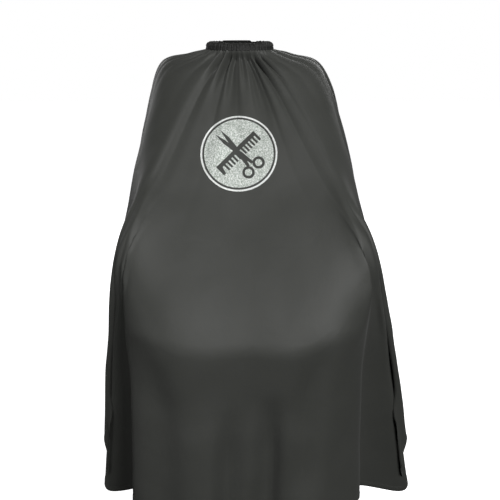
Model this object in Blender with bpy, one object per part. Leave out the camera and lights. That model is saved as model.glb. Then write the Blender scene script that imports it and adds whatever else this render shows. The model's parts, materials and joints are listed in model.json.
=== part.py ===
"""Barber cape, draped as it hangs on a seated wearer.

Metres, +Z up. The origin is the centre of the neck opening; the wearer faces -Y.
Run with: blender --background --python part.py
"""

import math

import bmesh
import bpy
import numpy as np
from mathutils import Matrix, Vector

MM = 0.001
GAP = 0.3 * MM

# Neckband: a cone of elliptic rings, leaning in towards the neck.
BAND_HALF_WIDTH = 74.5 * MM
BAND_HALF_DEPTH = 62.0 * MM
BAND_HEIGHT = 18.0 * MM
BAND_LEAN = math.radians(35)
CASING_THICKNESS = 6.8 * MM
CASING_WALL = 2.4 * MM
CASING_HEM_WALL = 2.0 * MM
CASING_STEPS = 72

# Closure at the back of the neck. Arc lengths run from the back centre, + towards the wearer's right (-X).
CASING_END = 45.0 * MM
TAB_THICKNESS = 1.6 * MM
TAB_HEIGHT = 17.0 * MM
TAB_STEPS = 22
STUD_TAB_TIP = 42.0 * MM
OVER_TAB_TIP = -29.0 * MM
OVER_TAB_OFFSET = CASING_THICKNESS - TAB_THICKNESS
ROOT_GAP = 0.6 * MM
TAB_CORNER = 5.5 * MM
SNAP_PITCH = 17.0 * MM
STUD_COUNT = 5
CLOSED_STUDS = (1, 2)

# Press snaps, measured along the snap's own axis, out from the stud tab's inner face.
SNAP_SEGMENTS = 16
CAP_RADIUS = 6.0 * MM
CAP_THICKNESS = 1.0 * MM
CAP_EDGE = 0.6 * MM
PIN_RADIUS = 1.0 * MM
HOLE_RADIUS = 1.3 * MM
SOCKET_RADIUS = 5.0 * MM
SOCKET_BORE = 3.0 * MM
STUD_FLANGE_RADIUS = 5.0 * MM
STUD_NECK_RADIUS = 2.6 * MM
STUD_FLANGE = (TAB_THICKNESS + GAP, TAB_THICKNESS + GAP + 1.0 * MM)
STUD_TOP = 4.3 * MM
SOCKET_SPAN = (3.2 * MM, OVER_TAB_OFFSET - GAP)
SOCKET_WEB = 0.4 * MM
BACK_CAP_GAP = 0.5 * MM

# Panel: the sheet's key lines run from the neck to the hem, for one half of the cape, from the slit at the
# back round the side to the front centre. Each starts at an angle round the neck, measured from the back.
PANEL_THICKNESS = 2.0 * MM
STEPS_BETWEEN_LINES = 6
STEPS_BETWEEN_STATIONS = 3
CM = 0.01
NECK_HALF_WIDTH = 8.15
NECK_HALF_DEPTH = 7.05
NECK_EDGE_HEIGHT = -0.9
KEY_LINES = (
    # back centre, along the slit
    (1.5, ((0.4, 9.6, -2.6), (0.6, 12.8, -7), (0.8, 14.6, -14.5), (1.1, 15.4, -22), (1.4, 15.8, -28.5),
           (1.7, 16.1, -35))),
    # shoulder blade
    (32, ((7.2, 9.2, -2.4), (12.2, 12, -6.6), (14.4, 14.2, -15.6), (15.4, 15.4, -25.5), (16.2, 16.2, -34),
          (17, 17, -41.5))),
    # back corner of the sheet
    (58, ((11.2, 6, -2), (18.4, 7.6, -5.6), (22, 9.6, -18), (24, 11, -36), (25.6, 12.4, -52.5),
          (27.4, 13.8, -69))),
    # point of the shoulder, then straight down behind the armrest
    (82, ((12.6, 1.2, -1.8), (20.2, 1.4, -4.8), (24.2, 0.8, -19.5), (27.2, 0.2, -41), (28.6, 0.2, -50),
          (29.8, 0.2, -59.5))),
    # over the armrest, at its back, middle and front
    (104, ((12.2, -2.8, -2), (19.6, -3.4, -5.2), (24.2, -8.2, -20), (27.4, -13.6, -41), (29.2, -13.8, -52),
           (30.8, -14, -62))),
    (124, ((10.2, -6, -2.8), (17.2, -8.8, -7.4), (23.8, -17.6, -22.5), (27.4, -27, -41), (29.6, -27.2, -56),
           (31, -27.4, -70.5))),
    (141, ((7.8, -8, -3.6), (13.2, -13, -10.2), (20.8, -25.2, -25.2), (27, -38.6, -40.4), (31.2, -35.4, -65),
           (34, -31.5, -89.5))),
    # front corner of the sheet
    (149, ((6.5, -8.6, -3.9), (11.2, -14.2, -11.4), (18.8, -26.8, -26.6), (26.4, -40.4, -41.2),
           (31, -34.8, -73), (36, -31, -103.5))),
    # valley behind the front fold
    (155, ((5.4, -9, -4.1), (9.4, -15, -12.4), (16.8, -27.8, -28), (25.6, -41.6, -42.4), (25, -37.4, -73),
           (25, -34, -101))),
    # front fold, hanging from the armrest's corner
    (161, ((4.3, -9.3, -4.3), (7.6, -15.6, -13.2), (13.6, -28.4, -29.2), (24.4, -42.6, -43.8),
           (24, -45.6, -69.4), (24.4, -46.6, -96.5))),
    # knee
    (171, ((2.4, -9.6, -4.5), (4.1, -16, -13.9), (7.2, -28.6, -29.6), (13.6, -49.2, -53.6), (13.4, -52.6, -74.6),
           (13.4, -54, -97))),
    # front centre
    (180, ((0, -9.7, -4.6), (0, -16.1, -14.2), (0, -28.5, -30), (0, -48.8, -54.2), (0, -52.2, -74.6),
           (0, -53.6, -97))),
)
# Folds of the sides and the back, along the key lines, deepening from the shoulder to the hem.
FOLD_DEPTH = 58.0 * MM
FOLDS_PER_LINE = 1.0
FOLD_LINES = (0.6, 6.3)
FOLD_FADE = 4.3
FOLD_START = 0.12
FOLD_START_AT_ARM = 0.5
ARM_LINES = (2.5, 5.0)
FOLD_GROWTH = 1.2
FOLD_INWARD = 0.5
# The sheet drifts towards the wearer's left as it falls; its front stops drifting at the lap.
LEAN = 0.04
FRONT_LEAN_DEPTH = 0.35
FRONT_LEAN_LINES = (7.5, 9.0)

# Emblem: a film printed on the sloping chest. Its outlines are drawn round, then lowered to the height that
# they have from straight in front.
EMBLEM_CENTRE = (0.0, -0.230)
EMBLEM_HEIGHT_SHARE = 0.875
EMBLEM_RING_RADIUS = 87.0 * MM
EMBLEM_RING_WIDTH = 4.0 * MM
EMBLEM_DISC_RADIUS = 78.5 * MM
FILM_CLEARANCE = 0.5 * MM
FILM_THICKNESS = 0.6 * MM
FILM_FIRST_LINE = 7
FILM_STATIONS = (1, 4)
CIRCLE_STEPS = 64
CUTTER_SPAN = (-0.45, -0.05)

# Crossed comb and scissors, cut out of the emblem's disc.
MOTIF_ANGLE = math.radians(45)
COMB_LENGTH = 118.0 * MM
COMB_SPINE = 10.0 * MM
COMB_DEPTH = 26.0 * MM
COMB_TEETH = 12
COMB_END_WIDTH = 6.0 * MM
COMB_TOOTH_SHARE = 0.55
BLADE_LENGTH = 70.0 * MM
BLADE_WIDTH = 10.5 * MM
BLADE_TIP = 2.0 * MM
BLADE_SPREAD = math.radians(9)
SHANK_LENGTH = 38.0 * MM
SHANK_WIDTH = 6.5 * MM
HANDLE_RADIUS = 14.0 * MM
HANDLE_HOLE = 8.0 * MM
HANDLE_OFFSET = 8.5 * MM
HANDLE_STEPS = 28

SMOOTH_ANGLE = math.radians(40)


def clear_scene():
    for obj in list(bpy.data.objects):
        bpy.data.objects.remove(obj)


def material(name, colour, roughness, metallic=0.0):
    made = bpy.data.materials.new(name)
    made.use_nodes = True
    shader = made.node_tree.nodes["Principled BSDF"]
    shader.inputs["Base Color"].default_value = (*colour, 1.0)
    shader.inputs["Roughness"].default_value = roughness
    shader.inputs["Metallic"].default_value = metallic
    return made


def add_object(name, points, faces, look=None, matrix=None):
    mesh = bpy.data.meshes.new(name)
    mesh.from_pydata([tuple(point) for point in points], [], faces)
    bm = bmesh.new()
    bm.from_mesh(mesh)
    bmesh.ops.recalc_face_normals(bm, faces=bm.faces)
    bm.to_mesh(mesh)
    bm.free()
    obj = bpy.data.objects.new(name, mesh)
    bpy.context.scene.collection.objects.link(obj)
    if look:
        mesh.materials.append(look)
    if matrix:
        obj.matrix_world = matrix
    return obj


def as_cutter(obj):
    obj.hide_render = True
    obj.display_type = "WIRE"
    return obj


def cut(obj, cutter, operation="DIFFERENCE"):
    modifier = obj.modifiers.new(cutter.name, "BOOLEAN")
    modifier.object = cutter
    modifier.operation = operation
    modifier.solver = "EXACT"


def shade(obj):
    obj.data.shade_smooth()
    obj.data.set_sharp_from_angle(angle=SMOOTH_ANGLE)


# ---------------------------------------------------------------- neckband frame


def band_angle(arc):
    """The ellipse parameter at an arc length from the back centre, found by small steps."""
    steps = max(1, int(abs(arc) / (0.5 * MM)))
    angle = math.pi / 2
    for _ in range(steps):
        speed = math.hypot(BAND_HALF_WIDTH * math.sin(angle), BAND_HALF_DEPTH * math.cos(angle))
        angle += arc / steps / speed
    return angle


def band_frame(angle):
    """(origin, normal out of the band, up along its wall) at an ellipse parameter."""
    origin = Vector((BAND_HALF_WIDTH * math.cos(angle), BAND_HALF_DEPTH * math.sin(angle), 0))
    level = Vector((math.cos(angle) / BAND_HALF_WIDTH, math.sin(angle) / BAND_HALF_DEPTH, 0)).normalized()
    normal = level * math.cos(BAND_LEAN) + Vector((0, 0, math.sin(BAND_LEAN)))
    up = Vector((0, 0, math.cos(BAND_LEAN))) - level * math.sin(BAND_LEAN)
    return origin, normal, up


def band_point(angle, out, height):
    origin, normal, up = band_frame(angle)
    return origin + normal * out + up * height


def sweep(name, angles, section, look):
    """A solid swept round the band: section is a list of (out, height) corners."""
    points = [band_point(angle, out, height) for angle in angles for out, height in section]
    size = len(section)
    faces = []
    for step in range(len(angles) - 1):
        for corner in range(size):
            here = step * size + corner
            beside = step * size + (corner + 1) % size
            faces.append((here, beside, beside + size, here + size))
    faces.append(tuple(range(size)))
    faces.append(tuple(range(len(points) - size, len(points))))
    obj = add_object(name, points, faces, look)
    shade(obj)
    return obj


def box_section(out_from, out_to, height):
    half = height / 2
    return [(out_from, -half), (out_to, -half), (out_to, half), (out_from, half)]


def make_casing(look):
    """A tube, open at both ends, that runs round the neck and leaves the closure free."""
    start = band_angle(CASING_END)
    end = band_angle(-CASING_END) + 2 * math.pi
    angles = np.linspace(start, end, CASING_STEPS)
    outer = box_section(0, CASING_THICKNESS, BAND_HEIGHT)
    inner_height = BAND_HEIGHT - 2 * CASING_HEM_WALL
    inner = box_section(CASING_WALL, CASING_THICKNESS - CASING_WALL, inner_height)
    points = []
    for angle in angles:
        points += [band_point(angle, out, height) for out, height in outer + inner]
    faces = []
    for step in range(CASING_STEPS - 1):
        for ring in (0, 4):
            for corner in range(4):
                here = step * 8 + ring + corner
                beside = step * 8 + ring + (corner + 1) % 4
                faces.append((here, beside, beside + 8, here + 8))
    for first in (0, (CASING_STEPS - 1) * 8):
        for corner in range(4):
            beside = (corner + 1) % 4
            faces.append((first + corner, first + beside, first + 4 + beside, first + 4 + corner))
    obj = add_object("neckband_casing", points, faces, look)
    shade(obj)


def make_elastic(look):
    start = band_angle(CASING_END - 2 * MM) + 0.05
    end = band_angle(-CASING_END + 2 * MM) + 2 * math.pi - 0.05
    hollow = (CASING_WALL + GAP, CASING_THICKNESS - CASING_WALL - GAP)
    height = BAND_HEIGHT - 2 * CASING_HEM_WALL - 2 * GAP
    sweep("neck_elastic", np.linspace(start, end, CASING_STEPS), box_section(*hollow, height), look)


def make_tab(name, root, tip, offset, look):
    """A strap along the band with a rounded tip. Root and tip are arc lengths."""
    direction = math.copysign(1, tip - root)
    length = abs(tip - root)
    arcs = list(np.linspace(0, length - TAB_CORNER, TAB_STEPS))
    corner_steps = 6
    for step in range(1, corner_steps + 1):
        arcs.append(length - TAB_CORNER + TAB_CORNER * math.sin(step / corner_steps * math.pi / 2))
    points = []
    for arc in arcs:
        into = max(0.0, arc - (length - TAB_CORNER))
        trim = TAB_CORNER - math.sqrt(max(0.0, TAB_CORNER**2 - into**2))
        half = TAB_HEIGHT / 2 - trim
        angle = band_angle(root + direction * arc)
        for out in (offset, offset + TAB_THICKNESS):
            points.append(band_point(angle, out, -half))
            points.append(band_point(angle, out, half))
    faces = []
    for step in range(len(arcs) - 1):
        for low, high in ((0, 1), (1, 3), (3, 2), (2, 0)):
            faces.append((step * 4 + low, step * 4 + high, step * 4 + high + 4, step * 4 + low + 4))
    last = (len(arcs) - 1) * 4
    faces.append((0, 2, 3, 1))
    faces.append((last, last + 1, last + 3, last + 2))
    obj = add_object(name, points, faces, look)
    shade(obj)
    return obj


# ---------------------------------------------------------------- press snaps


def turned(name, profile, matrix, look=None):
    """A solid of revolution about its own Z. The profile is a closed loop of (radius, height)."""
    points = []
    rings = []
    for radius, height in profile:
        if radius == 0:
            rings.append([len(points)] * SNAP_SEGMENTS)
            points.append((0, 0, height))
            continue
        rings.append(list(range(len(points), len(points) + SNAP_SEGMENTS)))
        for step in range(SNAP_SEGMENTS):
            turn = 2 * math.pi * step / SNAP_SEGMENTS
            points.append((radius * math.cos(turn), radius * math.sin(turn), height))
    faces = []
    for this, after in zip(rings, rings[1:] + rings[:1]):
        for step in range(SNAP_SEGMENTS):
            following = (step + 1) % SNAP_SEGMENTS
            corners = dict.fromkeys((this[step], this[following], after[following], after[step]))
            if len(corners) > 2:
                faces.append(tuple(corners))
    obj = add_object(name, points, faces, look, matrix)
    shade(obj)
    return obj


def snap_matrix(arc):
    """The frame of a snap on the closure: Z out of the band, Y up along it."""
    origin, normal, up = band_frame(band_angle(arc))
    across = up.cross(normal)
    rotation = Matrix((across, up, normal)).transposed().to_4x4()
    return Matrix.Translation(origin) @ rotation


def cap_profile(seat, outward, pin_end):
    """A domed cap that seats at a height, with a pin that runs the other way to pin_end."""
    edge = seat + outward * CAP_EDGE
    top = seat + outward * CAP_THICKNESS
    return [
        (0, pin_end),
        (PIN_RADIUS, pin_end),
        (PIN_RADIUS, seat),
        (CAP_RADIUS, seat),
        (CAP_RADIUS, edge),
        (CAP_RADIUS * 0.8, top - outward * 0.1 * MM),
        (CAP_RADIUS * 0.45, top),
        (0, top),
    ]


def make_stud(number, arc, stud_tab, looks):
    matrix = snap_matrix(arc)
    flange_low, flange_high = STUD_FLANGE
    profile = [
        (HOLE_RADIUS, flange_low),
        (STUD_FLANGE_RADIUS, flange_low),
        (STUD_FLANGE_RADIUS, flange_high),
        (STUD_NECK_RADIUS * 0.92, flange_high),
        (STUD_NECK_RADIUS, STUD_TOP - 0.5 * MM),
        (STUD_NECK_RADIUS * 0.9, STUD_TOP),
        (HOLE_RADIUS, STUD_TOP),
    ]
    turned(f"snap_stud_{number}", profile, matrix, looks["snap"])
    back = cap_profile(-BACK_CAP_GAP, -1, STUD_TOP - GAP)
    turned(f"snap_back_cap_{number}", back, matrix, looks["snap"])
    make_hole(stud_tab, f"stud_hole_{number}", matrix, 0)


def make_closure_snap(number, arc, over_tab, looks):
    matrix = snap_matrix(arc)
    socket_low, socket_high = SOCKET_SPAN
    profile = [
        (SOCKET_BORE, socket_low),
        (SOCKET_RADIUS, socket_low),
        (SOCKET_RADIUS, socket_high),
        (HOLE_RADIUS, socket_high),
        (HOLE_RADIUS, socket_high - SOCKET_WEB),
        (SOCKET_BORE, socket_high - SOCKET_WEB),
    ]
    turned(f"closure_socket_{number}", profile, matrix, looks["snap"])
    seat = OVER_TAB_OFFSET + TAB_THICKNESS + GAP
    cap = cap_profile(seat, 1, STUD_TOP + GAP)
    turned(f"closure_cap_{number}", cap, matrix, looks["snap"])
    make_hole(over_tab, f"closure_hole_{number}", matrix, OVER_TAB_OFFSET)


def make_hole(tab, name, matrix, offset):
    margin = 1 * MM
    low = offset - margin
    high = offset + TAB_THICKNESS + margin
    profile = [(0, low), (HOLE_RADIUS, low), (HOLE_RADIUS, high), (0, high)]
    cut(tab, as_cutter(turned(name, profile, matrix)))


def make_closure(looks):
    stud_tab = make_tab("stud_tab", -CASING_END + ROOT_GAP, STUD_TAB_TIP, 0, looks["band"])
    over_tab = make_tab("closure_tab", CASING_END - ROOT_GAP, OVER_TAB_TIP, OVER_TAB_OFFSET, looks["band"])
    middle = (STUD_COUNT - 1) / 2
    for index in range(STUD_COUNT):
        make_stud(index + 1, (index - middle) * SNAP_PITCH, stud_tab, looks)
    for number, index in enumerate(CLOSED_STUDS, start=1):
        make_closure_snap(number, (index - middle) * SNAP_PITCH, over_tab, looks)


# ---------------------------------------------------------------- panel


def spline(keys, steps):
    """A Catmull-Rom curve through rows of keys, with so many steps between two of them."""
    keys = np.asarray(keys, float)
    before = 2 * keys[0] - keys[1]
    after = 2 * keys[-1] - keys[-2]
    padded = np.concatenate([before[None], keys, after[None]])
    rows = []
    for index in range(len(keys) - 1):
        p0, p1, p2, p3 = padded[index : index + 4]
        for step in range(steps):
            t = step / steps
            rows.append(
                p1
                + 0.5 * t * (p2 - p0)
                + t * t * (p0 - 2.5 * p1 + 2 * p2 - 0.5 * p3)
                + t**3 * (1.5 * (p1 - p2) + 0.5 * (p3 - p0))
            )
    rows.append(keys[-1])
    return np.array(rows)


def key_points():
    lines = []
    for degrees, rest in KEY_LINES:
        angle = math.radians(degrees)
        start = (NECK_HALF_WIDTH * math.sin(angle), NECK_HALF_DEPTH * math.cos(angle), NECK_EDGE_HEIGHT)
        lines.append((start, *rest))
    half = np.array(lines) * CM
    mirrored = half[-2::-1] * (-1, 1, 1)
    return np.concatenate([half, mirrored])


def folds(rows, columns):
    """How far each point of the grid stands out of the smooth sheet."""
    drop = np.linspace(0, 1, rows)[:, None]
    line = np.linspace(0, 2 * (len(KEY_LINES) - 1), columns)[None]
    from_slit = np.minimum(line, 2 * (len(KEY_LINES) - 1) - line)
    first, last = FOLD_LINES
    share = 1 / (1 + np.exp((first - from_slit) * FOLD_FADE)) / (1 + np.exp((from_slit - last) * FOLD_FADE))
    back_until, arm_from = ARM_LINES
    at_arm = np.clip((from_slit - back_until) / (arm_from - back_until), 0, 1)
    start = FOLD_START + (FOLD_START_AT_ARM - FOLD_START) * at_arm
    depth = FOLD_DEPTH * np.clip((drop - start) / (1 - start), 0, 1) ** FOLD_GROWTH
    uneven = 0.8 + 0.2 * np.sin(2.3 * line + 0.5)
    phase = 1 + 0.6 * np.sin(1.7 * line) + 0.5 * drop
    return depth * uneven * share * (np.sin(2 * math.pi * FOLDS_PER_LINE * line + phase) - FOLD_INWARD)


def grid_normals(grid):
    normals = np.cross(np.gradient(grid, axis=1), np.gradient(grid, axis=0))
    return normals / np.linalg.norm(normals, axis=2)[..., None]


def drift(grid):
    depth = NECK_EDGE_HEIGHT * CM - grid[..., 2]
    line = np.linspace(0, 2 * (len(KEY_LINES) - 1), grid.shape[1])[None]
    from_slit = np.minimum(line, 2 * (len(KEY_LINES) - 1) - line)
    side_until, front_from = FRONT_LEAN_LINES
    front = np.clip((from_slit - side_until) / (front_from - side_until), 0, 1)
    return LEAN * (depth + (np.minimum(depth, FRONT_LEAN_DEPTH) - depth) * front)


def panel_grid():
    """Points of the sheet, [row from neck to hem, column from one edge of the slit to the other]."""
    lines = spline(key_points(), STEPS_BETWEEN_LINES)
    grid = spline(lines.transpose(1, 0, 2), STEPS_BETWEEN_STATIONS)
    grid = grid + grid_normals(grid) * folds(*grid.shape[:2])[..., None]
    grid[..., 0] += drift(grid)
    return grid


def grid_faces(rows, columns):
    faces = []
    for row in range(rows - 1):
        for column in range(columns - 1):
            here = row * columns + column
            faces.append((here, here + 1, here + columns + 1, here + columns))
    return faces


def make_panel(grid, look):
    rows, columns = grid.shape[:2]
    mesh = bpy.data.meshes.new("cape_panel")
    mesh.from_pydata([tuple(point) for point in grid.reshape(-1, 3)], [], grid_faces(rows, columns))
    obj = bpy.data.objects.new("cape_panel", mesh)
    bpy.context.scene.collection.objects.link(obj)
    mesh.materials.append(look)
    mesh.shade_smooth()
    solidify = obj.modifiers.new("thickness", "SOLIDIFY")
    solidify.thickness = PANEL_THICKNESS
    solidify.offset = -1
    solidify.use_even_offset = False


# ---------------------------------------------------------------- emblem


def film_slab(grid):
    """A thin closed slab over the chest, just clear of the sheet's facets."""
    columns_from = FILM_FIRST_LINE * STEPS_BETWEEN_LINES
    columns_to = grid.shape[1] - 1 - columns_from
    rows_from, rows_to = (station * STEPS_BETWEEN_STATIONS for station in FILM_STATIONS)
    patch = grid[rows_from : rows_to + 1, columns_from : columns_to + 1]
    normals = grid_normals(patch)
    near = patch + normals * FILM_CLEARANCE
    far = near + normals * FILM_THICKNESS
    rows, columns = patch.shape[:2]
    count = rows * columns
    faces = grid_faces(rows, columns)
    faces += [tuple(count + corner for corner in face) for face in grid_faces(rows, columns)]
    rim = list(range(columns))
    rim += [row * columns + columns - 1 for row in range(1, rows)]
    rim += [(rows - 1) * columns + column for column in range(columns - 2, -1, -1)]
    rim += [row * columns for row in range(rows - 2, 0, -1)]
    for here, after in zip(rim, rim[1:] + rim[:1]):
        faces.append((here, after, after + count, here + count))
    return np.concatenate([near.reshape(-1, 3), far.reshape(-1, 3)]), faces


def prism(name, outlines):
    """A cutter: outlines in the emblem's plane, extruded from front to back. A second outline is a hole."""
    centre_x, centre_z = EMBLEM_CENTRE
    points = []
    faces = []
    size = len(outlines[0])
    for outline in outlines:
        for depth in CUTTER_SPAN:
            points += [(centre_x + x, depth, centre_z + z * EMBLEM_HEIGHT_SHARE) for x, z in outline]
    for ring in range(len(outlines)):
        first = ring * 2 * size
        for corner in range(size):
            beside = (corner + 1) % size
            faces.append((first + corner, first + beside, first + size + beside, first + size + corner))
    if len(outlines) == 1:
        faces += [tuple(range(size)), tuple(range(size, 2 * size))]
    else:
        for end in (0, size):
            for corner in range(size):
                beside = (corner + 1) % size
                inner = 2 * size + end
                faces.append((end + corner, end + beside, inner + beside, inner + corner))
    return as_cutter(add_object(name, points, faces))


def circle(radius, steps, centre=(0, 0)):
    turns = [2 * math.pi * step / steps for step in range(steps)]
    return [(centre[0] + radius * math.cos(turn), centre[1] + radius * math.sin(turn)) for turn in turns]


def turn_outline(outline, angle):
    cosine, sine = math.cos(angle), math.sin(angle)
    return [(x * cosine - z * sine, x * sine + z * cosine) for x, z in outline]


def comb_outline():
    """A comb along X with its teeth towards -Z, centred on the origin."""
    left = -COMB_LENGTH / 2
    top = COMB_DEPTH / 2
    root = top - COMB_SPINE
    bottom = -COMB_DEPTH / 2
    pitch = (COMB_LENGTH - 2 * COMB_END_WIDTH) / COMB_TEETH
    outline = [(left + COMB_END_WIDTH, bottom), (left, bottom), (left, top), (-left, top), (-left, bottom)]
    outline.append((-left - COMB_END_WIDTH, bottom))
    for tooth in range(COMB_TEETH, 0, -1):
        slot_from = left + COMB_END_WIDTH + tooth * pitch
        slot_to = slot_from - pitch * (1 - COMB_TOOTH_SHARE)
        outline += [(slot_from, root), (slot_to, root)]
        if tooth > 1:
            outline += [(slot_to, bottom), (slot_from - pitch, bottom)]
    return outline


def blade_outline(side):
    """One blade and its shank along X, pivoted at the origin, with the cutting edge towards the other blade."""
    half = BLADE_WIDTH / 2
    outline = [
        (-SHANK_LENGTH, -SHANK_WIDTH / 2),
        (-SHANK_LENGTH * 0.2, -half),
        (BLADE_LENGTH * 0.6, -half),
        (BLADE_LENGTH, -half + BLADE_TIP),
        (BLADE_LENGTH * 0.6, half * 0.6),
        (-SHANK_LENGTH * 0.2, half),
        (-SHANK_LENGTH, SHANK_WIDTH / 2),
    ]
    outline = [(x, z * side) for x, z in outline]
    return turn_outline(turn_outline(outline, side * BLADE_SPREAD), math.pi - MOTIF_ANGLE)


def handle_centre(side):
    reach = SHANK_LENGTH + HANDLE_RADIUS - SHANK_WIDTH / 2
    spread = turn_outline([(-reach, -side * HANDLE_OFFSET)], side * BLADE_SPREAD)
    return turn_outline(spread, math.pi - MOTIF_ANGLE)[0]


def make_emblem(grid, look):
    points, faces = film_slab(grid)

    def film(name, outlines):
        obj = add_object(name, points, faces, look)
        cut(obj, prism(f"{name}_outline", outlines), "INTERSECT")
        return obj

    inner_radius = EMBLEM_RING_RADIUS - EMBLEM_RING_WIDTH
    film("emblem_ring", [circle(EMBLEM_RING_RADIUS, CIRCLE_STEPS), circle(inner_radius, CIRCLE_STEPS)])
    disc = film("emblem_disc", [circle(EMBLEM_DISC_RADIUS, CIRCLE_STEPS)])
    cut(disc, prism("comb_cutout", [turn_outline(comb_outline(), MOTIF_ANGLE)]))
    for side, word in ((1, "upper"), (-1, "lower")):
        centre = handle_centre(side)
        cut(disc, prism(f"{word}_blade_cutout", [blade_outline(side)]))
        cut(disc, prism(f"{word}_handle_cutout", [circle(HANDLE_RADIUS, HANDLE_STEPS, centre)]))
        film(f"emblem_{word}_finger_hole", [circle(HANDLE_HOLE, HANDLE_STEPS, centre)])


def main():
    clear_scene()
    looks = {
        "cloth": material("cape_polyester", (0.042, 0.043, 0.040), 0.55),
        "band": material("band_cloth", (0.022, 0.022, 0.021), 0.7),
        "elastic": material("elastic", (0.03, 0.03, 0.03), 0.8),
        "snap": material("snap_plastic", (0.015, 0.015, 0.015), 0.35),
        "film": material("silver_film", (0.60, 0.64, 0.60), 0.4, 0.4),
    }
    grid = panel_grid()
    make_panel(grid, looks["cloth"])
    make_casing(looks["band"])
    make_elastic(looks["elastic"])
    make_closure(looks)
    make_emblem(grid, looks["film"])


main()
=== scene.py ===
"""The looks of the barber cape: draped cloth, ruched neckband, press snaps and printed emblem."""

import json
import math

import bmesh
import bpy
import numpy as np
from mathutils import Matrix, Vector, noise

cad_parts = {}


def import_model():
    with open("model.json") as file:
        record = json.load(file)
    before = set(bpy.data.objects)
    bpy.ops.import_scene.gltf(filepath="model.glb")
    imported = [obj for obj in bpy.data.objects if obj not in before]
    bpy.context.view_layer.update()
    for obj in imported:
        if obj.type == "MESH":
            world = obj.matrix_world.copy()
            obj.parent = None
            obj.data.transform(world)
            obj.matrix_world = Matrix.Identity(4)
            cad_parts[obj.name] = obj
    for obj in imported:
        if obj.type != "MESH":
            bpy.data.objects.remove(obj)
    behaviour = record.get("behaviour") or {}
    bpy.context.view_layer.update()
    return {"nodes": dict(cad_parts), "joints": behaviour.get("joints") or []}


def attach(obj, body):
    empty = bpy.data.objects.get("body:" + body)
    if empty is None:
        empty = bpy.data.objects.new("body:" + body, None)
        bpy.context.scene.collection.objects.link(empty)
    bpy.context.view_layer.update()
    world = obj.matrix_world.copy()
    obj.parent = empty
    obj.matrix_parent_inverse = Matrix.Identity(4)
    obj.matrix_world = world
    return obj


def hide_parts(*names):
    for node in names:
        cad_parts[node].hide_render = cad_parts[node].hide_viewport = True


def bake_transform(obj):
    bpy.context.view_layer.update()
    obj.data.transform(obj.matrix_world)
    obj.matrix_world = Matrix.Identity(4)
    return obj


MM = 0.001
GAP = 0.3 * MM

# Neckband: a cone of elliptic rings, leaning in towards the neck.
BAND_HALF_WIDTH = 74.5 * MM
BAND_HALF_DEPTH = 62.0 * MM
BAND_HEIGHT = 18.0 * MM
BAND_LEAN = math.radians(35)
CASING_THICKNESS = 6.8 * MM
CASING_STEPS = 720

# Closure at the back of the neck. Arc lengths run from the back centre, + towards the wearer's right (-X).
CASING_END = 45.0 * MM
TAB_THICKNESS = 1.6 * MM
TAB_HEIGHT = 17.0 * MM
TAB_STEPS = 48
STUD_TAB_TIP = 42.0 * MM
OVER_TAB_TIP = -29.0 * MM
OVER_TAB_OFFSET = CASING_THICKNESS - TAB_THICKNESS
ROOT_GAP = 0.6 * MM
TAB_CORNER = 5.5 * MM
SNAP_PITCH = 17.0 * MM
STUD_COUNT = 5
CLOSED_STUDS = (1, 2)

# Press snaps, measured along the snap's own axis, out from the stud tab's inner face.
SNAP_SEGMENTS = 48
CAP_RADIUS = 6.0 * MM
CAP_THICKNESS = 1.0 * MM
PIN_RADIUS = 1.0 * MM
HOLE_RADIUS = 1.3 * MM
SOCKET_RADIUS = 5.0 * MM
SOCKET_BORE = 3.0 * MM
STUD_FLANGE_RADIUS = 5.0 * MM
STUD_NECK_RADIUS = 2.6 * MM
STUD_FLANGE = (TAB_THICKNESS + GAP, TAB_THICKNESS + GAP + 1.0 * MM)
STUD_TOP = 4.3 * MM
SOCKET_SPAN = (3.2 * MM, OVER_TAB_OFFSET - GAP)
SOCKET_WEB = 0.4 * MM
BACK_CAP_GAP = 0.5 * MM
CAP_SHOULDER = 1.4 * MM
CAP_RIM = 0.25 * MM
CAP_DIMPLE = 0.35 * MM
CAP_STEPS = 7
STUD_BEVEL = 0.3 * MM
SOCKET_BEVEL = 0.4 * MM

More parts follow.
